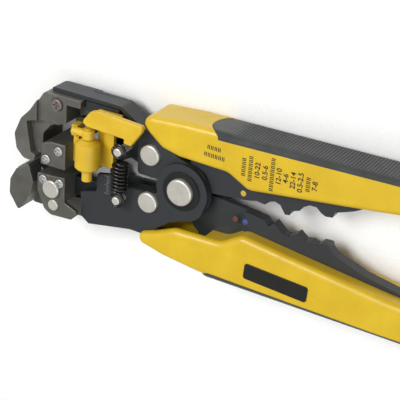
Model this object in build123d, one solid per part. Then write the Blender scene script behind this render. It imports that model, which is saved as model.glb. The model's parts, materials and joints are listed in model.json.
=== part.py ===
from build123d import *
import math
import os

# Self-adjusting wire stripper lying flat.  +X runs to the handles, +Z is the pivot axis and
# the origin is on the pivot axis in the resting plane.  Lengths are in millimetres, and z in
# the shapes below is counted from the middle of the tool's thickness.

# ---- driving dimensions ----
HALF_THICK = 9.5            # half the thickness of the covers and of the gripping jaws
MID_Z = HALF_THICK          # height of the tool's middle above the resting plane
CORE_Z = 2.45               # half the thickness of the handle cores and pull bars
LAP_GAP = 0.05              # half the gap between the lapped cores at the pivot
UPPER_PLATE_Z = (2.6, 4.4)  # side plates of the upper jaw arm
LOWER_PLATE_Z = (4.5, 6.3)  # side plates of the lower jaw arm
CAVITY_Z = 6.6              # half height of the hollow for the arms inside the covers
HOLDER_NEAR_Z = 11.0        # near face of the blade holders
HOLDER_FAR_Z = -9.0
BAR_Z = (9.8, 12.2)         # wire stop bar
SINK_GAP = 0.35             # gap round a sunk screw head
COVER_ROUND = 2.6           # rounding of the covers' edges
GRIP_START = 10.2           # front end of the soft grips
GRIP_END_R = 9.8            # radius of their rounded front end
GRIP_FIT = 0.02             # gap between a grip and its cover

PIVOT_R = 3.9
PIVOT_HOLE_R = 3.95
CORE_EYE_R = 7.5
ARM_EYE_R = 12.0
LOOSE = 0.35                # gap between pieces that pass each other

STROKE = 5.0                # travel of the blade carriages
SLIDE_TILT = 7.8            # degrees between a carriage's slide and the X axis

UPPER_PIN = (-16.5, 11.4)
LOWER_PIN = (-15.3, -9.4)
PIN_SHANK_R = 2.4
PIN_HEAD_R = 4.6
UPPER_SPRING_PIN = (-28.6, 11.5)
LOWER_SPRING_PIN = (-28.4, -10.9)
SPRING_PIN_R = 1.85
JAW_SCREW = (-61.8, 23.2)
LOWER_JAW_SCREWS = ((-66.0, -26.2), (-54.0, -26.2))
BLADE_SCREW_R = 2.15
BIG_RIVET = (-61.2, -14.8)
SMALL_RIVET = (-60.2, -22.4)

KNOB_X = -43.8
KNOB_Z = 10.6
KNOB_R = 5.4
KNOB_STEM_R = 1.7            # upper stem, turning in its bracket
KNOB_Y = (-0.4, 11.3)        # body of the knob

COIL_R = 2.95
COIL_WIRE_R = 0.62
COIL_PITCH = 1.62
COIL_X = -27.6
COIL_Z = 10.4
COIL_Y = (-7.6, 7.2)


# ---- helpers ----
def rounded(points):
    """Closed face; a point is (x, y) or (x, y, r) with r the radius of its corner."""
    edges = []
    starts = []
    ends = []
    middles = []
    count = len(points)
    for i in range(count):
        here = Vector(points[i][0], points[i][1])
        before = Vector(points[i - 1][0], points[i - 1][1])
        after = Vector(points[(i + 1) % count][0], points[(i + 1) % count][1])
        if len(points[i]) < 3:
            starts.append(here)
            ends.append(here)
            middles.append(None)
            continue
        u = (before - here).normalized()
        v = (after - here).normalized()
        half = math.acos(max(-1.0, min(1.0, u.dot(v)))) / 2
        radius = points[i][2]
        reach = radius / math.tan(half)
        start = here + u * reach
        end = here + v * reach
        centre = here + (u + v).normalized() * (radius / math.sin(half))
        starts.append(start)
        ends.append(end)
        middles.append(centre + (here - centre).normalized() * radius)
    for i in range(count):
        if middles[i] is not None:
            edges.append(ThreePointArc(starts[i], middles[i], ends[i]))
        following = starts[(i + 1) % count]
        if (following - ends[i]).length > 1e-4:
            edges.append(Line(ends[i], following))
    return make_face(edges)


def slab(points, z_low, z_high):
    """Outline in plan, from one height to the other."""
    return Pos(0, 0, z_low) * extrude(rounded(points), z_high - z_low)


def disc(centre, radius, z_low, z_high):
    """Round piece standing on a point of the plan."""
    middle = (z_low + z_high) / 2
    return Pos(centre[0], centre[1], middle) * Cylinder(radius, z_high - z_low)


def block(x_range, y_range, z_range):
    """Box from its three ranges."""
    middle = [(r[0] + r[1]) / 2 for r in (x_range, y_range, z_range)]
    size = [r[1] - r[0] for r in (x_range, y_range, z_range)]
    return Pos(*middle) * Box(*size)


def rod_y(x, z, radius, y_low, y_high):
    """Round rod lying along Y."""
    return Pos(x, (y_low + y_high) / 2, z) * Rot(90, 0, 0) * Cylinder(radius, y_high - y_low)


def rod_x(y, z, radius, x_low, x_high):
    """Round rod lying along X."""
    return Pos((x_low + x_high) / 2, y, z) * Rot(0, 90, 0) * Cylinder(radius, x_high - x_low)


def flip(shape):
    """The same shape on the far side of the tool."""
    return mirror(shape, about=Plane.XY)


def soften(shape, z, radius):
    """Round over the edges that lie in one plane."""
    edges = shape.edges().filter_by(lambda e: abs(e.bounding_box().min.Z - z) < 1e-4
                                    and abs(e.bounding_box().max.Z - z) < 1e-4)
    return fillet(edges, radius)


def guide_slot(pin, radius, direction, z_low, z_high):
    """Slot in a pull bar that lets a fixed pin stay still while the bar slides."""
    reach = (-STROKE * direction[0], -STROKE * direction[1])
    far_end = (pin[0] + reach[0], pin[1] + reach[1])
    side = (-direction[1] * radius, direction[0] * radius)
    strip = slab([(pin[0] + side[0], pin[1] + side[1]), (far_end[0] + side[0], far_end[1] + side[1]),
                  (far_end[0] - side[0], far_end[1] - side[1]), (pin[0] - side[0], pin[1] - side[1])],
                 z_low, z_high)
    return strip + disc(pin, radius, z_low, z_high) + disc(far_end, radius, z_low, z_high)


def domed_head(centre, radius, z_low, height):
    """Flat-topped rivet head with a rounded rim."""
    head = disc(centre, radius, z_low, z_low + height)
    return soften(head, z_low + height, height * 0.45)


def cross_screw(centre, radius, z_low, z_head, height):
    """Screw with a recessed cross in a low round head."""
    head = domed_head(centre, radius, z_head, height)
    shank = disc(centre, radius * 0.55, z_low, z_head)
    arm = radius * 0.62
    slot = radius * 0.14
    top = (z_head + height * 0.35, z_head + height + 0.1)
    cross = block((centre[0] - arm, centre[0] + arm), (centre[1] - slot, centre[1] + slot), top)
    cross += block((centre[0] - slot, centre[0] + slot), (centre[1] - arm, centre[1] + arm), top)
    return (head + shank) - cross


def sunk_hole(centre, radius, z_low, z_head):
    """Pocket round a screw's head with the bore for its shank."""
    return disc(centre, radius + SINK_GAP, z_head, 20) + disc(centre, radius * 0.56, z_low, z_head + 0.1)


nodes = {}
slide = math.radians(SLIDE_TILT)
UPPER_SLIDE = (math.cos(slide), -math.sin(slide))
LOWER_SLIDE = (math.cos(slide), math.sin(slide))
pivot_hole = disc((0, 0), PIVOT_HOLE_R, -30, 30)

# ---- lower jaw arm: a channel open towards the upper arm ----
lower_plate = [(-49.4, -14.5, 1), (-41.3, -12.2, 1), (-41.5, -3.8, 1), (-34.2, -2.2, 1), (-32.2, -6.0, 2),
               (-12.5, -5.2, 3), (-8.5, 0, 6), (0, 12.1, 8), (14, 4, 9), (9, -11, 8), (-4, -15.5, 6),
               (-17.5, -25.3, 3), (-23.8, -25.1, 3), (-44.9, -28.8, 1.5), (-48.8, -26.0, 1)]
near_plate = slab(lower_plate, *LOWER_PLATE_Z) + disc((0, 0), ARM_EYE_R, *LOWER_PLATE_Z)
web = slab([(-48.6, -26.1), (-44.9, -28.8), (-23.8, -25.1), (-19.0, -25.2), (-19.6, -23.3), (-24.0, -23.3),
            (-44.4, -26.8), (-47.9, -24.2)], -LOWER_PLATE_Z[1], LOWER_PLATE_Z[1])
lower_channel = near_plate + flip(near_plate) + web - pivot_hole
lower_channel -= disc(LOWER_PIN, PIN_SHANK_R + 0.03, -30, 30)
lower_channel -= disc(LOWER_SPRING_PIN, SPRING_PIN_R + 0.02, 0, 30)
nodes["lower_jaw_channel"] = lower_channel

# ---- upper jaw arm: its near plate starts behind the spring, the front shows the inside ----
far_plate = slab([(-50.1, 29.4), (-31.7, 29.0, 4), (-25.0, 24.6, 4), (-17.0, 20.4, 4), (-3.0, 13.5, 4),
                  (9, 9.5, 6), (14, -4, 8), (2, -14, 8), (-10, -8.5, 6), (-11.5, 0.9, 2), (-22.2, 0.6, 2),
                  (-33, 5.0, 4), (-45, 14.5, 4), (-50.1, 18.2)], -UPPER_PLATE_Z[1], -UPPER_PLATE_Z[0])
near_upper = slab([(-22.9, 23.4, 1), (-22.6, 1.2, 1.5), (-11.5, 1.2, 2), (-10, -8.5, 6), (2, -14, 8),
                   (14, -4, 8),
                   (9, 9.5, 6), (-3.0, 13.5, 4), (-17.0, 20.4, 4)], *UPPER_PLATE_Z)
upper_eye = disc((0, 0), ARM_EYE_R, *UPPER_PLATE_Z)
top_web = slab([(-66.5, 27.5), (-66.5, 29.4, 0.8), (-31.7, 29.0, 4), (-25.0, 24.6, 4), (-19.0, 21.4),
                (-19.6, 19.4), (-26.0, 22.8, 2), (-32.4, 27.5, 2)], -UPPER_PLATE_Z[1], UPPER_PLATE_Z[1])
upper_channel = far_plate + near_upper + upper_eye + flip(upper_eye) + top_web - pivot_hole
upper_channel -= disc(UPPER_PIN, PIN_SHANK_R + 0.03, -30, 30)
upper_channel -= disc(UPPER_SPRING_PIN, SPRING_PIN_R + 0.02, -30, 0)
nodes["upper_jaw_channel"] = upper_channel

# ---- gripping jaws ----
upper_jaw = slab([(-72.6, -5.4, 0.6), (-77.6, -5.2, 2.5), (-81.4, -1.6, 3), (-82.6, 5.4, 4), (-79.2, 13.4, 4),
                  (-74.6, 18.2, 1), (-68.6, 27.4, 1.5), (-50.2, 27.4), (-50.2, 17.9), (-57.5, 15.6, 6),
                  (-66.2, 12.0, 4), (-70.2, 7.4, 3), (-70.5, 0.4, 2)], -HALF_THICK, HALF_THICK)
upper_jaw -= slab([(-71.3, 30), (-49, 30), (-49, 0), (-68.6, 0), (-71.2, 12)], 7.6, 12)
upper_jaw -= slab([(-76.6, 12.6, 1), (-74.0, -1.4, 1), (-60, -8), (-60, 14), (-72.2, 14, 1)], 5.4, 12)
upper_jaw -= block((-57.2, -49.0), (14.0, 24.2), (-3.5, 12.0))
upper_jaw += block((-60.4, -50.3), (8.6, 14.6), (-HALF_THICK, -5.0))
nodes["upper_gripping_jaw"] = upper_jaw

lower_beak = slab([(-75.2, -7.4, 0.6), (-81.4, -11.4, 1.5), (-84.6, -17.2, 3), (-85.0, -24.2, 3),
                   (-80.2, -31.2, 1),
                   (-77.7, -29.0, 1), (-74.2, -22.2, 1), (-72.4, -15.6, 1)], -HALF_THICK, HALF_THICK)
lower_bridge = slab([(-80.2, -31.2, 1), (-47.0, -30.6, 1), (-44.4, -26.8), (-47.6, -22.2), (-74.6, -22.2)],
                    -HALF_THICK, -1.0)
lower_bridge -= slab([(-49.5, -40), (-40, -40), (-40, 0), (-49.5, 0)], -6.4, 0)
lower_jaw = lower_beak + lower_bridge
nodes["lower_gripping_jaw"] = lower_jaw

# ---- blade carriages ----
upper_holder = slab([(-67.8, -4.7, 0.6), (-67.2, 5.4, 2.2), (-62.6, 6.9, 3), (-55.0, 7.1, 0.6),
                     (-55.0, -4.7, 0.6)],
                    HOLDER_FAR_Z, HOLDER_NEAR_Z)
upper_holder = soften(upper_holder, HOLDER_NEAR_Z, 0.5)
nodes["upper_blade_holder"] = upper_holder
nodes["upper_cutting_blade"] = slab([(-68.7, -5.7), (-67.82, -4.9), (-67.82, 3.0), (-68.7, 3.0)], -6.5, 6.5)

lower_holder = slab([(-69.2, -9.4, 0.6), (-55.0, -8.3, 0.6), (-55.0, -20.6, 0.6), (-66.8, -20.6, 1),
                     (-69.0, -17.9, 0.6)], HOLDER_FAR_Z, 9.0)
lower_face = slab([(-69.2, -9.4, 0.6), (-55.0, -8.3, 0.6), (-54.8, -20.0, 1), (-48.6, -22.6, 1),
                   (-48.4, -24.4, 1),
                   (-51.2, -27.2, 1), (-62.0, -27.8, 3), (-65.4, -25.6, 2), (-69.0, -17.9, 1)],
                  8.99, HOLDER_NEAR_Z)
nodes["lower_blade_holder"] = soften(lower_holder + lower_face, HOLDER_NEAR_Z, 0.4)
nodes["lower_cutting_blade"] = slab([(-70.1, -8.4), (-69.22, -9.3), (-69.22, -17.0), (-70.1, -17.0)],
                                    -6.5, 6.5)

upper_bar = slab([(-57.0, -3.4), (-54.98, -3.4), (-44.0, -3.4, 4), (-26.0, 7.0, 4), (-11.3, 7.6, 2),
                  (-11.3, 16.6, 3), (-30.0, 15.4, 6), (-48.0, 6.4, 4), (-54.98, 6.0),
                  (-57.0, 6.0)], -CORE_Z, CORE_Z)
lower_bar = slab([(-54.98, -18.6), (-45.0, -18.8, 4), (-26.0, -15.6, 6), (-11.3, -13.4, 2),
                  (-11.3, -5.8, 1.5),
                  (-26.0, -6.8, 6), (-40.0, -9.8, 4), (-54.98, -10.4)], -CORE_Z, CORE_Z)
upper_bar &= block((-54.98, 0), (-50, 50), (-10, 10))
upper_bar -= guide_slot(UPPER_PIN, PIN_SHANK_R + LOOSE, UPPER_SLIDE, -10, 10)
upper_bar -= guide_slot(UPPER_SPRING_PIN, SPRING_PIN_R + LOOSE, UPPER_SLIDE, -10, 10)
lower_bar -= guide_slot(LOWER_PIN, PIN_SHANK_R + LOOSE, LOWER_SLIDE, -10, 10)
nodes["upper_pull_bar"] = upper_bar
nodes["lower_pull_bar"] = lower_bar

# ---- tension knob on its bracket ----
knob = rod_y(KNOB_X, KNOB_Z, KNOB_R, KNOB_Y[0], KNOB_Y[1])
knob = chamfer(knob.edges().filter_by(GeomType.CIRCLE).sort_by(Axis.Y)[0], 0.9)
shoulder = Cone(KNOB_R, KNOB_STEM_R + 1.0, 1.9, align=(Align.CENTER, Align.CENTER, Align.MIN))
knob += Pos(KNOB_X, KNOB_Y[1], KNOB_Z) * Rot(-90, 0, 0) * shoulder
knob += rod_y(KNOB_X, KNOB_Z, KNOB_STEM_R, KNOB_Y[1], 18.2)
knob += rod_y(KNOB_X, KNOB_Z, 2.25, -5.9, KNOB_Y[0] + 0.1)
nodes["tension_knob"] = knob
bracket = block((-54.97, -52.4), (-2.0, 12.4), (2.8, 4.6)) + block((-54.4, -52.0), (11.0, 12.4), (4.0, 7.0))
bracket += block((-54.4, -51.9), (11.0, 13.0), (4.75, 7.0)) + block((-53.0, -50.0), (12.4, 17.3), (4.75, 9.6))
bracket += rod_x(15.4, KNOB_Z, 1.75, -51.5, KNOB_X) + rod_y(KNOB_X, KNOB_Z, KNOB_STEM_R + 0.9, 13.5, 17.6)
bracket -= rod_y(KNOB_X, KNOB_Z, KNOB_STEM_R + 0.06, 0, 30)
nodes["knob_bracket"] = bracket

# ---- wire stop, sliding on a rail under the web of the upper arm ----
bar = slab([(-46.5, 20.9, 1.5), (-42.4, 26.4, 2.5), (-38.6, 27.6, 2), (-16.6, 26.2, 1.2), (-17.4, 23.2, 1.2),
            (-22.2, 16.2, 0.8), (-25.7, 16.6, 0.6), (-25.4, 18.5, 0.5), (-43.9, 19.3, 1.0)], *BAR_Z)
bar = soften(bar, BAR_Z[1], 0.6)
neck = block((-42.0, -30.5), (19.6, 25.6), (4.75, BAR_Z[0] + 0.1))
tongue = slab([(-42.8, -0.8, 0.8), (-34.6, -0.2, 0.8), (-34.6, 20.0), (-42.8, 20.0)], 2.7, 4.5)
tongue += block((-39.6, -34.6), (2.6, 20.0), (4.4, 4.9)) + block((-41.0, -34.6), (16.0, 20.2), (2.7, 6.5))
nodes["wire_stop"] = bar + neck + tongue
nodes["stop_rail"] = block((-49.5, -33.0), (23.0, 27.1), (2.2, 4.4))

# ---- handle cores with the cutter and the crimping teeth ----
upper_teeth = [(28.2, 2.75), (29.6, 3.0), (33.0, 3.9, 1), (36.6, 3.4), (38.7, 5.3), (41.0, 6.0), (43.4, 5.2),
               (45.8, 1.7), (47.8, 2.0), (48.7, 4.2), (52.0, 5.2), (53.5, 7.4), (56.1, 8.9), (59.0, 8.9),
               (61.4, 6.9), (63.2, 6.1), (66.2, 6.5), (67.0, 8.9), (75.1, 12.0, 3)]
lower_teeth = [(28.2, -2.5), (31.3, -2.7), (37.0, -3.6), (39.2, -5.8), (41.4, -3.6), (43.3, -5.2),
               (45.9, -7.4),
               (48.1, -7.8), (52.0, -5.2), (55.1, -7.6), (57.9, -7.1), (60.8, -7.8), (62.9, -6.0),
               (66.3, -5.8),
               (66.8, -7.6), (69.6, -10.0, 2), (82.3, -14.4, 6)]
upper_core = slab([(6.0, 0.58)] + upper_teeth + [(82.0, 16.0, 4), (108.0, 21.0, 2), (108.0, 28.0, 2),
                                                 (60.0, 27.0), (14.0, 24.5, 4), (4.0, 17.0, 3),
                                                 (-2.0, 7.0, 2)],
                  -CORE_Z, CORE_Z)
lower_core = slab([(6.0, -0.5)] + lower_teeth + [(99.0, -17.6, 6), (108.0, -20.0, 2), (108.0, -30.0, 2),
                                                 (60.0, -29.0), (14.0, -26.0, 4), (4.0, -18.0, 3),
                                                 (-2.0, -7.0, 2)],
                  -CORE_Z, CORE_Z)
lap_zone = [(-20, -20), (28.2, -20), (28.2, 20), (-20, 20)]
upper_core = upper_core - slab(lap_zone, -9, LAP_GAP) + disc((0, 0), CORE_EYE_R, LAP_GAP, CORE_Z) - pivot_hole
lower_core = lower_core - slab(lap_zone, -LAP_GAP, 9) + disc((0, 0), CORE_EYE_R, -CORE_Z,
                                                             -LAP_GAP) - pivot_hole
nodes["upper_handle_core"] = upper_core
nodes["lower_handle_core"] = lower_core

# ---- handle covers in two halves, with a soft grip along the outside ----
upper_outline = [(-19.6, 27.0, 3.2), (-15.4, 22.6, 3), (-9.2, 17.9, 4), (-1.1, 16.0, 8), (21.6, 15.4, 8),
                 (31.4, 10.2, 6), (67.5, 14.8), (96.4, 18.6, 20), (117.0, 19.4, 5), (122.0, 24.0, 5),
                 (121.0, 33.8, 6), (90.0, 33.4), (20.0, 32.3, 60), (0.0, 31.8, 30), (-8.0, 31.2, 8),
                 (-15.8, 30.7, 3.2)]
lower_outline = [(-20.6, -24.6, 2.9), (-9.0, -20.6, 6), (-1.1, -17.0, 8), (20.6, -16.4, 8), (30.4, -10.4, 6),
                 (67.0, -15.2), (96.0, -18.8, 20), (116.0, -20.0, 5), (121.4, -24.6, 5),
                 (120.4, -36.4, 6), (85.7, -35.9), (11.2, -33.5, 50), (-6.2, -31.2, 14), (-16.4, -28.6, 2.9)]
upper_grip_zone = [(GRIP_START, 45), (GRIP_START, 28.6, 1), (90.0, 30.7), (130.0, 31.2), (130.0, 45)]
lower_grip_zone = [(GRIP_START, -45), (GRIP_START, -31.8, 1), (90.0, -34.0), (130.0, -34.4), (130.0, -45)]
grip_half = GRIP_END_R + 0.1
grip_end = Rot(90, 0, 0) * slab([(GRIP_START, -grip_half, GRIP_END_R), (GRIP_START, grip_half, GRIP_END_R),
                                 (140, 12), (140, -12)], -60, 60)
arm_hollow = {"upper": [(-30, 26.4), (-14, 26.8), (8, 28.4), (14.5, 14.0), (14.5, 0), (-30, 0)],
              "lower": [(-30, -26.4), (-14, -26.8), (-4.0, -28.4), (8, -28.8), (14.5, -13.0),
                        (14.5, 0), (-30, 0)]}
inside = {"upper": [(30, 15.4), (64, 18.6), (96, 22.4), (112, 23.0), (112, 28.0), (90, 27.6), (30, 25.8)],
          "lower": [(30, -15.6), (64, -18.8), (96, -22.4), (112, -23.6), (112, -31.6), (90, -31.2),
                    (30, -29.2)]}
for side, outline, grip_zone, core in (("upper", upper_outline, upper_grip_zone, upper_core),
                                       ("lower", lower_outline, lower_grip_zone, lower_core)):
    blank = slab(outline, -HALF_THICK, HALF_THICK)
    blank = soften(soften(blank, HALF_THICK, COVER_ROUND), -HALF_THICK, COVER_ROUND)
    zone = slab(grip_zone, -20, 20) & grip_end
    outward = 1 if side == "upper" else -1
    nodes[side + "_grip"] = blank & (Pos(GRIP_FIT, outward * GRIP_FIT, 0) * zone)
    cover = blank - zone - slab(arm_hollow[side], -CAVITY_Z, CAVITY_Z)
    cover -= slab(inside[side], -7.0, 7.0)
    cover -= core
    split = block((-200, 200), (-200, 200), (0, 50))
    nodes[side + "_cover_near"] = cover & split
    nodes[side + "_cover_far"] = cover - split

# ---- rivets, pins and screws ----
nodes["main_pivot_rivet"] = (disc((0, 0), PIVOT_R, -6.4, 7.0) + domed_head((0, 0), 5.9, 6.9, 1.9)
                             + flip(domed_head((0, 0), 5.9, 6.31, HALF_THICK - 6.31)))
nodes["main_pivot_washer"] = disc((0, 0), 8.6, 6.31, 6.89) - disc((0, 0), PIVOT_R + 0.05, 0, 20)
for name, centre, z_seat in (("upper_cross_pin", UPPER_PIN, UPPER_PLATE_Z[1]),
                             ("lower_cross_pin", LOWER_PIN, LOWER_PLATE_Z[1])):
    head = domed_head(centre, PIN_HEAD_R, z_seat + 0.01, 1.7)
    nodes[name] = disc(centre, PIN_SHANK_R, -z_seat - 0.1, z_seat + 0.1) + head + flip(head)
for name, centre, z_low in (("upper_spring_pin", UPPER_SPRING_PIN, -4.4),
                            ("lower_spring_pin", LOWER_SPRING_PIN, 4.5)):
    nodes[name] = soften(disc(centre, SPRING_PIN_R, z_low, 12.0), 12.0, 0.5)
for name, centres, holder in (("upper_blade_screws", ((-58.5, 3.4), (-64.8, -1.8)), "upper_blade_holder"),
                              ("lower_blade_screws", ((-66.0, -11.8), (-57.6, -11.6)), "lower_blade_holder")):
    nodes[name] = [cross_screw(c, BLADE_SCREW_R, 6.0, HOLDER_NEAR_Z - 0.6, 1.0) for c in centres]
    for centre in centres:
        nodes[holder] -= sunk_hole(centre, BLADE_SCREW_R, 5.9, HOLDER_NEAR_Z - 0.6)
nodes["upper_jaw_screw"] = cross_screw(JAW_SCREW, 2.7, 3.0, 7.2, 1.4)
nodes["upper_gripping_jaw"] -= sunk_hole(JAW_SCREW, 2.7, 2.9, 7.2)
nodes["lower_jaw_screws"] = [flip(cross_screw(c, 2.3, 4.0, 8.4, 1.0)) for c in LOWER_JAW_SCREWS]
for centre in LOWER_JAW_SCREWS:
    nodes["lower_gripping_jaw"] -= flip(sunk_hole(centre, 2.3, 3.9, 8.4))
nodes["lower_holder_rivets"] = [disc(BIG_RIVET, 2.2, 6.0, 11.9) + domed_head(BIG_RIVET, 4.1, 11.41, 1.3),
                                disc(SMALL_RIVET, 1.6, 8.0, 11.2) + domed_head(SMALL_RIVET, 2.5, 11.02, 0.9)]
nodes["lower_blade_holder"] -= disc(BIG_RIVET, 2.25, 5.9, 20) + disc(SMALL_RIVET, 1.65, 7.9, 20)

# ---- jaw tension spring between its two pins ----
coil_path = Helix(COIL_PITCH, COIL_Y[1] - COIL_Y[0], COIL_R, center=(0, 0, 0), direction=(0, 0, 1))
section = Plane(origin=coil_path @ 0, z_dir=coil_path % 0) * Circle(COIL_WIRE_R)
coil = sweep(section, path=coil_path, is_frenet=True)
coil = Pos(COIL_X, COIL_Y[0], COIL_Z) * Rot(-90, 0, 0) * coil
spring = coil
for centre, y_coil, sense in ((UPPER_SPRING_PIN, COIL_Y[1], 1), (LOWER_SPRING_PIN, COIL_Y[0], -1)):
    hook_r = SPRING_PIN_R + COIL_WIRE_R + 0.6
    ring = Pos(centre[0], centre[1], COIL_Z) * Torus(hook_r, COIL_WIRE_R)
    start = y_coil
    end = centre[1] - sense * hook_r
    stem = rod_y(COIL_X, COIL_Z, COIL_WIRE_R, min(start, end) - 0.3, max(start, end) + 0.3)
    bend = rod_x(y_coil, COIL_Z, COIL_WIRE_R, COIL_X - 0.2, COIL_X + COIL_R)
    spring = spring + ring
    if abs(end - start) > 0.3:
        spring = spring + stem
    spring = spring + bend
nodes["jaw_tension_spring"] = spring

# ---- blank plate on the lower cover ----
plate_outline = [(33.6, -21.4, 1.2), (62.4, -23.4, 1.2), (62.0, -30.4, 1.2), (33.2, -28.4, 1.2)]
nodes["blank_plate"] = slab(plate_outline, HALF_THICK + 0.005, HALF_THICK + 0.4)


# ---- output ----
os.makedirs("parts", exist_ok=True)
for name, shape in nodes.items():
    solids = []
    for piece in (shape if isinstance(shape, list) else [shape]):
        solids += piece.solids()
    moved = [Pos(0, 0, MID_Z) * solid for solid in solids]
    result = moved[0] if len(moved) == 1 else Compound(children=moved)
    result.label = name
    export_step(result, "parts/" + name + ".step")
    box = result.bounding_box()
    print(name, len(solids), [round(v, 1) for v in (*box.min, *box.max)])
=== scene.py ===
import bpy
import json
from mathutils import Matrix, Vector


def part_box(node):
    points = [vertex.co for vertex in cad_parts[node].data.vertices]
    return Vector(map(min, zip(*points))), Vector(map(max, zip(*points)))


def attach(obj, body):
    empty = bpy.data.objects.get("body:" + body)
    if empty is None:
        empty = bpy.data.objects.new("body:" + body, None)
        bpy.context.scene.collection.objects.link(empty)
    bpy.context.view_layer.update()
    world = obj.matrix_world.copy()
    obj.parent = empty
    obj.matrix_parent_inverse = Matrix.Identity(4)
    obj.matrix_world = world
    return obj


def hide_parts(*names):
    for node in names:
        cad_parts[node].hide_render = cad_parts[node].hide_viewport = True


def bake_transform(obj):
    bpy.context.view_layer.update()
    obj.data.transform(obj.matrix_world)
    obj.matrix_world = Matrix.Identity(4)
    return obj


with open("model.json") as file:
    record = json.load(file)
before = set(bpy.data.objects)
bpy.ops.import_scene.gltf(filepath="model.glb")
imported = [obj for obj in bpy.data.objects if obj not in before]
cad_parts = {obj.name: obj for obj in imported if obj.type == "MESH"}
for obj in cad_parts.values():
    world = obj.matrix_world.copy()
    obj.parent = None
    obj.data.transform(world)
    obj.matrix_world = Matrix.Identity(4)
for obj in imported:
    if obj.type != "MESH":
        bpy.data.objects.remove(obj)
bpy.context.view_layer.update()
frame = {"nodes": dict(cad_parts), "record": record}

import json
import math

import bmesh
import bpy
from mathutils import Matrix, Vector

bl_info = {
    "name": "Wire stripper finishes",
    "version": (1, 0, 0),
    "blender": (4, 5, 0),
    "location": "3D View > Sidebar > Wire stripper",
    "description": "Finishes, soft grips, springs and markings for the self-adjusting wire stripper",
    "category": "Object",
}

# ---- the object's own sizes, in metres ----
MM = 0.001
HALF_THICK = 9.5 * MM           # half the thickness of the covers and the gripping jaws
MIDDLE = HALF_THICK             # height of the tool's middle above the floor
COVER_FACE = 2 * HALF_THICK     # the covers' near face
CORE_FACE = MIDDLE + 2.45 * MM  # the handle cores' near face
RULER_FACE = MIDDLE + 6.3 * MM  # the lower arm's near face

WIRE_R = 0.62 * MM              # jaw spring wire
PIN_R = 1.85 * MM               # pins that hold the spring
HOOK_PLAY = 0.6 * MM            # room between a pin and its loop
COIL_R = 2.95 * MM
COIL_TURNS = 9

COVER_ROUND = 2.6 * MM          # rounding of the covers' edges
GRIP_END_R = 9.8 * MM           # rounded front end of the soft grips
GRIP_STEP = 0.17 * MM           # spacing of the grips' cross-sections
GRIP_AROUND = 32                # points over the top of a cross-section
GRIP_TAPER = 2.1 / 79.8         # slope of the grips' lower edge
CREST_RISE = 0.0155             # slope of the grips' ridge line
TAIL_R = 6 * MM
SEAM_WIDTH = 0.8 * MM
SEAM_DEPTH = 0.35 * MM

LETTER_SIZE = 3.1 * MM
LETTER_WEIGHT = 0.06 * MM

VIEW_AZIMUTH = math.radians(46.79)    # from +X towards +Y
VIEW_ELEVATION = math.radians(53.0)
VIEW_ROLL = math.radians(-126.0)
VIEW_DISTANCE = 0.5641
VIEW_AIM = Vector((5.75, -4.74, 9.5)) * MM
LENS_MM = 121.5


class StripperSettings(bpy.types.PropertyGroup):
    """Sizes that shape the finished pieces."""
    rib_pitch: bpy.props.FloatProperty(
        name="Rib pitch", description="Distance from rib to rib on the soft grips",
        default=1.35 * MM, unit="LENGTH")
    rib_depth: bpy.props.FloatProperty(
        name="Rib depth", description="Depth of the grooves between the ribs",
        default=0.42 * MM, unit="LENGTH")
    tooth_pitch: bpy.props.FloatProperty(
        name="Tooth pitch", description="Distance between the serrations of the gripping jaws",
        default=0.95 * MM, unit="LENGTH")
    print_height: bpy.props.FloatProperty(
        name="Print height", description="Thickness of the printed marks",
        default=0.06 * MM, unit="LENGTH")


# ---- finishes ----
def srgb(code, alpha=1.0):
    """Linear colour from a hex code as it looks on a screen."""
    values = [int(code[i:i + 2], 16) / 255 for i in (1, 3, 5)]
    linear = [v / 12.92 if v <= 0.04045 else ((v + 0.055) / 1.055) ** 2.4 for v in values]
    return (*linear, alpha)


def add(tree, kind, links=None, values=None, **settings):
    """A node with its settings, the values on its sockets and what is plugged into them."""
    node = tree.nodes.new(kind)
    for key, value in settings.items():
        setattr(node, key, value)
    for key, value in (values or {}).items():
        node.inputs[key].default_value = value
    for key, source in (links or {}).items():
        tree.links.new(source, node.inputs[key])
    return node


def ramp(tree, source, stops):
    """Colour ramp with the given (place, colour) stops."""
    node = add(tree, "ShaderNodeValToRGB", {"Fac": source})
    elements = node.color_ramp.elements
    while len(elements) < len(stops):
        elements.new(0.5)
    for element, (place, colour) in zip(elements, stops):
        element.position = place
        element.color = colour
    return node.outputs["Color"]


def grey(value):
    """Ramp colour for a plain number."""
    return (value, value, value, 1.0)


def noise(tree, place, scale, detail, roughness, distortion=0.0):
    """Value of a noise texture."""
    values = {"Scale": scale, "Detail": detail, "Roughness": roughness, "Distortion": distortion}
    return add(tree, "ShaderNodeTexNoise", {"Vector": place}, values).outputs["Fac"]


def remap(tree, source, start, end, low, high):
    """Value stretched from start..end to low..high."""
    return add(tree, "ShaderNodeMapRange", {"Value": source},
               {"From Min": start, "From Max": end, "To Min": low, "To Max": high}).outputs["Result"]


def mix(tree, factor, first, second, blend="MIX"):
    """Colour mixed from two colours or sockets."""
    node = tree.nodes.new("ShaderNodeMix")
    node.data_type = "RGBA"
    node.blend_type = blend
    for index, source in ((0, factor), (6, first), (7, second)):
        if isinstance(source, bpy.types.NodeSocket):
            tree.links.new(source, node.inputs[index])
        else:
            node.inputs[index].default_value = source
    return node.outputs[2]


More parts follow.
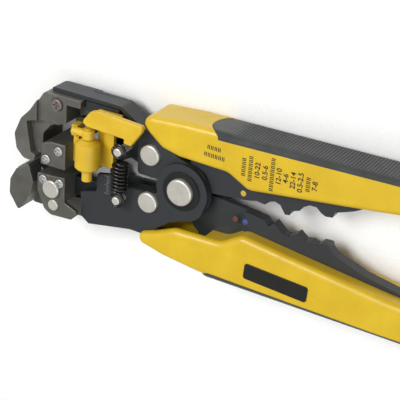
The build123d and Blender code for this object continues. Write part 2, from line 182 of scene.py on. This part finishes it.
def finish(name, shades, rough, grain, bump, metallic=0.0, edge=None, edge_width=0.25, **fixed):
    """A surface that drifts between shades, with fine grain, patchy gloss and rubbed edges.

    shades: hex codes from dark to light; rough: lowest and highest roughness; grain: size of the
    fine texture in mm; bump: its height in mm; edge: hex code and strength of the worn edge, which
    is rounded over edge_width mm.
    """
    material = bpy.data.materials.new(name)
    material.use_nodes = True
    tree = material.node_tree
    tree.nodes.clear()
    place = add(tree, "ShaderNodeTexCoord").outputs["Object"]
    cloud = noise(tree, place, 70.0, 5.0, 0.6)
    fine = noise(tree, place, 1000.0 / grain, 3.0, 0.55)
    smear = noise(tree, place, 260.0, 6.0, 0.7, 0.6)
    steps = max(1, len(shades) - 1)
    drift = ramp(tree, cloud, [(0.3 + 0.4 * i / steps, srgb(code)) for i, code in enumerate(shades)])
    shade = mix(tree, 0.6, drift, ramp(tree, fine, [(0.35, grey(0.90)), (0.65, grey(1.0))]), "MULTIPLY")
    gloss = remap(tree, smear, 0.3, 0.7, *rough)
    pits = add(tree, "ShaderNodeBump", {"Height": fine}, {"Strength": 0.5, "Distance": bump * MM})
    if edge:
        soft = add(tree, "ShaderNodeBevel", values={"Radius": edge_width * MM}, samples=4).outputs["Normal"]
        sharp = add(tree, "ShaderNodeNewGeometry").outputs["Normal"]
        facing = add(tree, "ShaderNodeVectorMath", {0: soft, 1: sharp}, operation="DOT_PRODUCT")
        rubbed = remap(tree, facing.outputs["Value"], 0.99, 0.90, 0.0, edge[1])
        patchy = remap(tree, smear, 0.35, 0.60, 0.25, 1.0)
        worn = add(tree, "ShaderNodeMath", {0: rubbed, 1: patchy}, operation="MULTIPLY", use_clamp=True)
        shade = mix(tree, worn.outputs[0], shade, srgb(edge[0]))
        tree.links.new(soft, pits.inputs["Normal"])
    waves = add(tree, "ShaderNodeBump", {"Height": cloud, "Normal": pits.outputs["Normal"]},
                {"Strength": 0.25, "Distance": bump * 2 * MM})
    shader = add(tree, "ShaderNodeBsdfPrincipled",
                 {"Base Color": shade, "Roughness": gloss, "Normal": waves.outputs["Normal"]},
                 {"Metallic": metallic, **fixed})
    add(tree, "ShaderNodeOutputMaterial", {"Surface": shader.outputs["BSDF"]})
    return material


def moulded_yellow():
    """Glossy moulded shell: warm yellow with faint flow shading and a fine spark texture."""
    return finish("moulded_yellow", ["#D0AB18", "#D6B21C", "#DCB921"], (0.30, 0.42), 0.35, 0.006,
                  edge=("#E4C640", 0.35), edge_width=0.5,
                  **{"IOR": 1.5, "Coat Weight": 0.15, "Coat Roughness": 0.25, "Subsurface Weight": 0.04,
                     "Subsurface Radius": (0.004, 0.003, 0.001), "Subsurface Scale": 0.4})


def knob_yellow():
    """Deeper, duller yellow of the small moulded control parts."""
    return finish("knob_yellow", ["#D0A91F", "#D8B226", "#DFBA2F"], (0.38, 0.5), 0.3, 0.008,
                  edge=("#E8CA5A", 0.4), edge_width=0.35, **{"IOR": 1.49})


def soft_rubber():
    """Dull charcoal rubber with a dusty bloom on its ribs."""
    return finish("soft_rubber", ["#2E312F", "#363937", "#404340"], (0.62, 0.82), 0.25, 0.02,
                  edge=("#5C5F5A", 0.35), edge_width=0.2,
                  **{"IOR": 1.45, "Sheen Weight": 0.25, "Sheen Roughness": 0.5})


def sintered_steel():
    """Phosphated sintered steel: warm grey, finely pitted, brighter on its corners."""
    return finish("sintered_steel", ["#55544C", "#62615A", "#706F66"], (0.42, 0.6), 0.28, 0.02,
                  metallic=0.55, edge=("#B0ADA0", 0.6), edge_width=0.35, **{"IOR": 2.0})


def black_oxide():
    """Blue-black oxide on pressed steel plate, rubbed grey along the edges."""
    return finish("black_oxide", ["#14181B", "#1B1F23", "#23282C"], (0.36, 0.54), 0.4, 0.008,
                  metallic=0.3, edge=("#6A6E70", 0.55), edge_width=0.3, **{"IOR": 1.6})


def nickel_rivet():
    """Nickel-plated rivet heads: bright, with a soft pale reflection."""
    return finish("nickel_rivet", ["#D0CCC1", "#DAD6CC", "#E4E1D8"], (0.26, 0.4), 0.5, 0.01,
                  metallic=0.5, edge=("#F2F0EA", 0.5), edge_width=0.3, **{"IOR": 2.5})


def screw_steel():
    """Zinc-plated screws, bright with darker recesses."""
    return finish("screw_steel", ["#CFCFCB", "#DADAD6", "#E4E4E0"], (0.24, 0.38), 0.3, 0.006,
                  metallic=0.55, edge=("#EEEEEC", 0.5), edge_width=0.2, **{"IOR": 2.5})


def ground_blade():
    """Ground tool steel of the blades."""
    return finish("ground_blade", ["#8E9092", "#9C9EA0", "#AAACAE"], (0.24, 0.38), 0.2, 0.006,
                  metallic=1.0, edge=("#D8DADC", 0.5), **{"IOR": 2.5})


def spring_black():
    """Oiled black spring wire with a tight highlight."""
    return finish("spring_black", ["#08090A", "#0E0F10", "#151617"], (0.22, 0.34), 0.3, 0.004,
                  metallic=0.7, **{"IOR": 2.0, "Coat Weight": 0.3, "Coat Roughness": 0.15})


def print_black():
    """Pad-printed black ink."""
    return finish("print_black", ["#1A1814", "#24211B"], (0.5, 0.62), 0.25, 0.004, **{"IOR": 1.48})


def washer_black():
    """Dull black of the pivot washer and the pull bars."""
    return finish("washer_black", ["#0D0F11", "#121517", "#181B1E"], (0.4, 0.55), 0.3, 0.006,
                  metallic=0.2, edge=("#4C5052", 0.5), edge_width=0.25, **{"IOR": 1.5})


def casting_screw():
    """Brown-grey phosphate of the screw in the upper gripping jaw."""
    return finish("casting_screw", ["#6E635B", "#7C7169", "#8B8078"], (0.36, 0.5), 0.3, 0.01,
                  metallic=0.5, edge=("#C2B8AE", 0.6), edge_width=0.2, **{"IOR": 2.0})


def plate_black():
    """Satin black enamel of the blank name plate."""
    return finish("plate_black", ["#0E0D0A", "#12110D", "#181712"], (0.35, 0.48), 0.3, 0.006,
                  edge=("#3A382F", 0.4), edge_width=0.2, **{"IOR": 1.5})


def dot_paint(name, code):
    """Thick enamel of a size dot."""
    return finish(name, [code, code], (0.28, 0.4), 0.4, 0.01, **{"IOR": 1.5, "Coat Weight": 0.4})


def floor_paper():
    """Seamless pale paper under the tool."""
    return finish("floor_paper", ["#FBFBFA", "#FDFDFC"], (0.8, 0.9), 0.6, 0.004, **{"IOR": 1.4})


# ---- mesh helpers ----
def make_piece(name, body, material, fill):
    """New mesh object filled through bmesh, smooth shaded, riding on its body."""
    mesh = bpy.data.meshes.new(name)
    shape = bmesh.new()
    fill(shape)
    bmesh.ops.recalc_face_normals(shape, faces=shape.faces)
    for face in shape.faces:
        face.smooth = True
    shape.to_mesh(mesh)
    shape.free()
    piece = bpy.data.objects.new(name, mesh)
    bpy.context.scene.collection.objects.link(piece)
    mesh.materials.append(material)
    if body:
        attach(piece, body)
    return piece


def loft(shape, rings):
    """Closed skin through rings of equal length, capped at both ends."""
    rows = [[shape.verts.new(point) for point in ring] for ring in rings]
    count = len(rows[0])
    for lower, upper in zip(rows, rows[1:]):
        for i in range(count):
            shape.faces.new((lower[i], lower[(i + 1) % count], upper[(i + 1) % count], upper[i]))
    shape.faces.new(list(reversed(rows[0])))
    shape.faces.new(rows[-1])


def prism(shape, outline, low, high):
    """Straight-sided solid from an outline in plan."""
    loft(shape, [[(x, y, low) for x, y in outline], [(x, y, high) for x, y in outline]])


def bars(shape, count, half_height):
    """Row of upright bars that stand for the letters of a word."""
    step = 1.62 * MM
    for i in range(count):
        middle = step * (i - (count - 1) / 2)
        for side in (-1, 1):
            x = middle + side * 0.36 * MM
            outline = [(x - 0.2 * MM, -0.9 * MM), (x + 0.2 * MM, -0.9 * MM),
                       (x + 0.2 * MM, 0.9 * MM), (x - 0.2 * MM, 0.9 * MM)]
            prism(shape, outline, -half_height, half_height)


def centre(node):
    """Middle of a node's box."""
    low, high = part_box(node)
    return (Vector(low) + Vector(high)) / 2


FINISH_OF_SLOT = {
    "yellow_plastic": moulded_yellow,
    "knob_plastic": knob_yellow,
    "soft_grip": soft_rubber,
    "cast_alloy": sintered_steel,
    "black_oxide": black_oxide,
    "nickel_steel": nickel_rivet,
    "screw_steel": screw_steel,
    "blade_steel": ground_blade,
    "spring_wire": spring_black,
    "black_print": print_black,
}
FINISH_OF_NODE = {
    "main_pivot_washer": washer_black,
    "upper_pull_bar": washer_black,
    "lower_pull_bar": washer_black,
    "blank_plate": plate_black,
    "upper_jaw_screw": casting_screw,
}


def material_for(slot, node=None):
    """The finish of a slot, or of one node where it differs, made once."""
    maker = FINISH_OF_NODE.get(node, FINISH_OF_SLOT[slot])
    found = bpy.data.materials.get(maker.__name__)
    return found or maker()


# ---- pieces ----
class STRIPPER_OT_finish_parts(bpy.types.Operator):
    """Give every machined and moulded part its finish"""
    bl_idname = "stripper.finish_parts"
    bl_label = "Finish the parts"

    def execute(self, context):
        for entry in frame["record"]["subparts"]:
            part = frame["nodes"][entry["node"]]
            material = material_for(entry["material_slot"], entry["node"])
            if not part.material_slots:
                part.data.materials.append(None)
            for holder in part.material_slots:
                holder.link = "OBJECT"
                holder.material = material
        return {"FINISHED"}


class STRIPPER_OT_soft_grips(bpy.types.Operator):
    """Mould the two ribbed soft grips"""
    bl_idname = "stripper.soft_grips"
    bl_label = "Soft grips"

    def execute(self, context):
        sizes = context.scene.stripper
        self.grip("upper", 1, sizes)
        self.grip("lower", -1, sizes)
        return {"FINISHED"}

    def grip(self, side, outward, sizes):
        low, high = (Vector(c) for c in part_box(side + "_grip"))
        start, end = low.x, high.x
        crest_end = max(abs(low.y), abs(high.y))
        base_start = min(abs(low.y), abs(high.y))
        steps = int((end - start) / GRIP_STEP)
        rows = [GRIP_STEP * 3 * (i / 10) ** 2 for i in range(10)]
        rows += [GRIP_STEP * i for i in range(3, steps)] + [end - start]

        def crest_at(along):
            """Height of the ridge line: it follows the cover and rolls in at both ends."""
            to_end = end - start - along
            crest = crest_end - CREST_RISE * (to_end - 5 * MM) - 0.1 * MM
            if to_end < TAIL_R:
                crest -= TAIL_R - math.sqrt(max(0.0, TAIL_R ** 2 - (TAIL_R - to_end) ** 2))
            return crest

        def ribs_at(along):
            """Depth of the groove between two ribs here, fading out at both ends."""
            fade_in = min(1, max(0, (along - 9 * MM) / (6 * MM)))
            fade_out = min(1, max(0, (end - start - along - 6 * MM) / (3 * MM)))
            wave = 0.5 - 0.5 * math.cos(2 * math.pi * along / sizes.rib_pitch)
            return sizes.rib_depth * wave ** 2 * fade_in * fade_out

        def section(along):
            half = HALF_THICK
            if along < GRIP_END_R:
                half = min(half, 0.1 * MM + math.sqrt(GRIP_END_R ** 2 - (GRIP_END_R - along) ** 2))
            to_end = end - start - along
            if to_end < COVER_ROUND:
                half -= COVER_ROUND - math.sqrt(COVER_ROUND ** 2 - (COVER_ROUND - to_end) ** 2)
            base = base_start + GRIP_TAPER * along
            crest = crest_at(along)
            points = []
            for k in range(GRIP_AROUND + 1):
                share = math.cos(math.pi * k / GRIP_AROUND)
                z = half * math.copysign(abs(share) ** 0.5, share)
                past = max(0.0, abs(z) - HALF_THICK + COVER_ROUND)
                drop = COVER_ROUND - math.sqrt(max(0.0, COVER_ROUND ** 2 - past ** 2))
                rim = max(0.0, 1 - (half - abs(z)) / SEAM_WIDTH) if along < GRIP_END_R else 0.0
                groove = ribs_at(along) * min(1.0, max(0.0, (8.4 * MM - abs(z)) / (1.0 * MM)))
                y = max(base + 0.05 * MM, crest - drop - groove - SEAM_DEPTH * rim ** 2)
                points.append((start + along, outward * y, MIDDLE + z))
            points.append((start + along, outward * base, MIDDLE - half))
            points.append((start + along, outward * base, MIDDLE + half))
            return points

        piece = make_piece(side + "_soft_grip", side + "_handle", material_for("soft_grip"),
                           lambda shape: loft(shape, [section(along) for along in rows]))
        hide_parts(side + "_grip")


class STRIPPER_OT_jaw_spring(bpy.types.Operator):
    """Wind the tension spring between the two jaw arms"""
    bl_idname = "stripper.jaw_spring"
    bl_label = "Jaw spring"

    def execute(self, context):
        upper = centre("upper_spring_pin")
        lower = centre("lower_spring_pin")
        low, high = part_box("jaw_tension_spring")
        height = (low[2] + high[2]) / 2
        axis_x = upper.x + 1.0 * MM
        hook_r = PIN_R + WIRE_R + HOOK_PLAY
        bottom = lower.y + hook_r + 0.7 * MM
        top = upper.y - hook_r - 0.7 * MM
        path = []
        for k in range(33):
            t = math.radians(-75 + 325 * k / 32)
            path.append((lower.x + hook_r * math.sin(t), lower.y - hook_r * math.cos(t), height))
        steps = COIL_TURNS * 28
        for k in range(steps + 1):
            share = k / steps
            ease = min(1.0, share * COIL_TURNS * 1.6, (1 - share) * COIL_TURNS * 1.6)
            t = 2 * math.pi * COIL_TURNS * share - math.pi / 2
            path.append((axis_x + COIL_R * ease * math.cos(t), bottom + (top - bottom) * share,
                         height + COIL_R * ease * math.sin(t)))
        for k in range(33):
            t = math.radians(110 - 325 * k / 32)
            path.append((upper.x + hook_r * math.sin(t - math.pi),
                         upper.y + hook_r * math.cos(t - math.pi), height))
        wire = bpy.data.curves.new("spring_path", "CURVE")
        wire.dimensions = "3D"
        wire.bevel_depth = WIRE_R
        wire.bevel_resolution = 4
        wire.use_fill_caps = True
        line = wire.splines.new("POLY")
        line.points.add(len(path) - 1)
        for point, place in zip(line.points, path):
            point.co = (*place, 1)
        holder = bpy.data.objects.new("spring_path", wire)
        context.scene.collection.objects.link(holder)
        context.view_layer.update()
        solid = bpy.data.meshes.new_from_object(holder.evaluated_get(context.evaluated_depsgraph_get()))
        bpy.data.objects.remove(holder)

        def fill(shape):
            shape.from_mesh(solid)
            bmesh.ops.remove_doubles(shape, verts=shape.verts, dist=1e-6)

        piece = make_piece("jaw_spring_coil", None, material_for("spring_wire"), fill)
        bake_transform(piece)
        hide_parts("jaw_tension_spring")
        return {"FINISHED"}


class STRIPPER_OT_jaw_teeth(bpy.types.Operator):
    """Cut the serrations that grip the insulation"""
    bl_idname = "stripper.jaw_teeth"
    bl_label = "Jaw serrations"

    def execute(self, context):
        sizes = context.scene.stripper
        steel = material_for("cast_alloy")
        rows = (
            ("lower_jaw_serrations", "lower_jaw", (-74.95, -8.6), (-73.1, -14.6), 0.45),
            ("lower_jaw_bite", "lower_jaw", (-75.9, -7.72), (-80.7, -10.9), 0.35),
            ("upper_jaw_bite", "upper_jaw", (-73.4, -5.32), (-76.6, -5.2), -0.35),
        )
        for name, body, first, last, height in rows:
            self.ridges(name, body, Vector(first) * MM, Vector(last) * MM, height * MM,
                        sizes.tooth_pitch, steel)
        return {"FINISHED"}

    def ridges(self, name, body, first, last, height, pitch, steel):
        run = last - first
        count = max(2, int(run.length / pitch))
        step = run / count
        outward = Vector((-run.y, run.x)).normalized() * height
        if outward.y < 0 and height > 0:
            outward = -outward

        def fill(shape):
            for i in range(count):
                a = first + step * i
                b = a + step * 0.92
                tip = (a + b) / 2 + outward
                sunk = -outward.normalized() * 0.15 * MM
                outline = [tuple(a + sunk), tuple(b + sunk), tuple(b), tuple(tip), tuple(a)]
                prism(shape, outline, MIDDLE - 9.3 * MM, MIDDLE + 9.3 * MM)

        piece = make_piece(name, body, steel, fill)
        for face in piece.data.polygons:
            face.use_smooth = False


class STRIPPER_OT_markings(bpy.types.Operator):
    """Print the size marks, dots and ruler lines"""
    bl_idname = "stripper.markings"
    bl_label = "Markings"

    def execute(self, context):
        sizes = context.scene.stripper
        ink = material_for("black_print")
        self.numbers(context, sizes, ink)
        self.dots()
        self.ruler()
        return {"FINISHED"}

    def numbers(self, context, sizes, ink):
        """Wire sizes in columns beside the dies; plain bars where a maker prints words."""
        columns = ((29.6, 5), (32.6, 7), (35.8, "10-22"), (39.2, "0.5-6"), (42.2, 9), (45.2, "12-10"),
                   (48.2, "4-6"), (51.4, "22-14"), (54.6, "0.5-2.5"), (57.8, 4), (60.8, "7-8"))
        for index, (x, words) in enumerate(columns):
            place = Vector((x - 0.6, 20.6 + 0.015 * (x - 30), 0)) * MM
            self.label(context, "size_marks_%02d" % index, words, place, math.radians(90), sizes, ink)
        for index, (x, y, count) in enumerate(((15.2, 24.8, 4), (15.6, 21.4, 6))):
            place = Vector((x, y, 0)) * MM
            self.label(context, "cutter_marks_%d" % index, count, place, math.radians(-2), sizes, ink)

    def label(self, context, name, words, place, turn, sizes, ink):
        """Numbers as raised ink, or a row of bars when words is a count."""
        place = Vector((place.x, place.y, COVER_FACE + sizes.print_height / 2 - 0.02 * MM))
        spot = Matrix.Translation(place) @ Matrix.Rotation(turn, 4, "Z")
        solid = None if isinstance(words, int) else self.lettered(context, name, words, sizes)

        def fill(shape):
            if solid:
                shape.from_mesh(solid)
            else:
                bars(shape, words, sizes.print_height / 2)
            bmesh.ops.transform(shape, matrix=spot, verts=shape.verts)

        piece = make_piece(name, "upper_handle", ink, fill)
        for face in piece.data.polygons:
            face.use_smooth = False

    def lettered(self, context, name, words, sizes):
        """Mesh of a line of numbers, centred."""
        text = bpy.data.curves.new(name, "FONT")
        text.body = words
        text.size = LETTER_SIZE
        text.align_x = "CENTER"
        text.align_y = "CENTER"
        text.extrude = sizes.print_height / 2
        text.offset = LETTER_WEIGHT
        holder = bpy.data.objects.new(name + "_text", text)
        context.scene.collection.objects.link(holder)
        context.view_layer.update()
        solid = bpy.data.meshes.new_from_object(holder.evaluated_get(context.evaluated_depsgraph_get()))
        bpy.data.objects.remove(holder)
        return solid

    def dots(self):
        """Coloured dots beside the dies."""
        for name, body, x, y, code in (("red_dot", "lower_handle", 23.9, -7.2, "#6E3026"),
                                       ("blue_dot", "lower_handle", 28.5, -7.1, "#3B4F90"),
                                       ("yellow_dot", "upper_handle", 26.6, 5.4, "#C9A83A")):
            paint = dot_paint(name + "_paint", code)

            def fill(shape, x=x, y=y):
                rings = []
                for radius, height in ((1.25, -0.02), (1.25, 0.03), (1.05, 0.09), (0.5, 0.12)):
                    rings.append([((x + radius * math.cos(2 * math.pi * k / 32)) * MM,
                                   (y + radius * math.sin(2 * math.pi * k / 32)) * MM,
                                   CORE_FACE + height * MM) for k in range(32)])
                loft(shape, rings)

            make_piece(name, body, paint, fill)

    def ruler(self):
        """Fine raised lines of the strip-length scale on the lower arm."""
        pale = dot_paint("scale_paint", "#8C8F8E")

        def fill(shape):
            for k in range(11):
                y = -3.6 - 0.8 * k
                length = 2.6 if k % 5 == 0 else 1.5
                outline = [(-35.0, y - 0.07), (-35.0, y + 0.07), (-35.0 - length, y + 0.07),
                           (-35.0 - length, y - 0.07)]
                prism(shape, [(a * MM, b * MM) for a, b in outline],
                      RULER_FACE - 0.02 * MM, RULER_FACE + 0.04 * MM)

        make_piece("strip_scale", "lower_jaw", pale, fill)


class STRIPPER_OT_stage(bpy.types.Operator):
    """Lay the paper, hang the lights and set the camera"""
    bl_idname = "stripper.stage"
    bl_label = "Stage"

    def execute(self, context):
        scene = context.scene
        self.paper()
        self.lamps(scene)
        self.camera(scene)
        scene.view_settings.view_transform = "Standard"
        return {"FINISHED"}

    def paper(self):
        half = 3.0

        def fill(shape):
            rows = 12
            grid = [[shape.verts.new((half * (2 * i / rows - 1), half * (2 * j / rows - 1), -0.0004))
                     for i in range(rows + 1)] for j in range(rows + 1)]
            for j in range(rows):
                for i in range(rows):
                    shape.faces.new((grid[j][i], grid[j][i + 1], grid[j + 1][i + 1], grid[j + 1][i]))

        floor = make_piece("paper", None, floor_paper(), fill)

    def lamps(self, scene):
        world = bpy.data.worlds.new("studio")
        scene.world = world
        world.use_nodes = True
        tree = world.node_tree
        tree.nodes.clear()
        sky = add(tree, "ShaderNodeBackground", values={"Color": srgb("#FFFFFF"), "Strength": 0.36})
        add(tree, "ShaderNodeOutputWorld", {"Surface": sky.outputs["Background"]})
        for name, place, size, power in (("key", (-0.25, 0.35, 0.65), 0.35, 3.7),
                                         ("fill", (0.55, -0.30, 0.55), 0.5, 1.6),
                                         ("top", (0.05, 0.05, 0.9), 0.7, 2.1)):
            lamp = bpy.data.lights.new(name, "AREA")
            lamp.size = size
            lamp.energy = power
            holder = bpy.data.objects.new(name, lamp)
            holder.location = place
            aim = Vector((0.01, 0, 0.01)) - Vector(place)
            holder.rotation_euler = aim.to_track_quat("-Z", "Y").to_euler()
            scene.collection.objects.link(holder)

    def camera(self, scene):
        data = bpy.data.cameras.new("camera")
        data.lens = LENS_MM
        data.sensor_width = 36.0
        data.clip_start = 0.02
        holder = bpy.data.objects.new("camera", data)
        flat = math.cos(VIEW_ELEVATION)
        back = Vector((flat * math.cos(VIEW_AZIMUTH), flat * math.sin(VIEW_AZIMUTH),
                       math.sin(VIEW_ELEVATION)))
        level = Vector((0, 0, 1)).cross(back).normalized()
        right = Matrix.Rotation(VIEW_ROLL, 3, back) @ level
        up = back.cross(right)
        turn = Matrix((right, up, back)).transposed()
        holder.matrix_world = Matrix.Translation(VIEW_AIM + back * VIEW_DISTANCE) @ turn.to_4x4()
        scene.collection.objects.link(holder)
        scene.camera = holder


class STRIPPER_PT_panel(bpy.types.Panel):
    """Buttons for the wire stripper"""
    bl_label = "Wire stripper"
    bl_idname = "STRIPPER_PT_panel"
    bl_space_type = "VIEW_3D"
    bl_region_type = "UI"
    bl_category = "Wire stripper"

    def draw(self, context):
        layout = self.layout
        sizes = context.scene.stripper
        for name in ("rib_pitch", "rib_depth", "tooth_pitch", "print_height"):
            layout.prop(sizes, name)
        for operator in OPERATORS:
            layout.operator(operator.bl_idname)


OPERATORS = (STRIPPER_OT_finish_parts, STRIPPER_OT_soft_grips, STRIPPER_OT_jaw_spring, STRIPPER_OT_jaw_teeth,
             STRIPPER_OT_markings, STRIPPER_OT_stage)
CLASSES = (StripperSettings, *OPERATORS, STRIPPER_PT_panel)


def register():
    """Makes the settings, buttons and panel known to Blender."""
    for cls in CLASSES:
        bpy.utils.register_class(cls)
    bpy.types.Scene.stripper = bpy.props.PointerProperty(type=StripperSettings)


def unregister():
    """Takes them away again."""
    del bpy.types.Scene.stripper
    for cls in reversed(CLASSES):
        bpy.utils.unregister_class(cls)


def main():
    """Builds every piece in order."""
    register()
    bpy.ops.stripper.finish_parts()
    bpy.ops.stripper.soft_grips()
    bpy.ops.stripper.jaw_spring()
    bpy.ops.stripper.jaw_teeth()
    bpy.ops.stripper.markings()
    bpy.ops.stripper.stage()


if __name__ == "__main__":
    main()
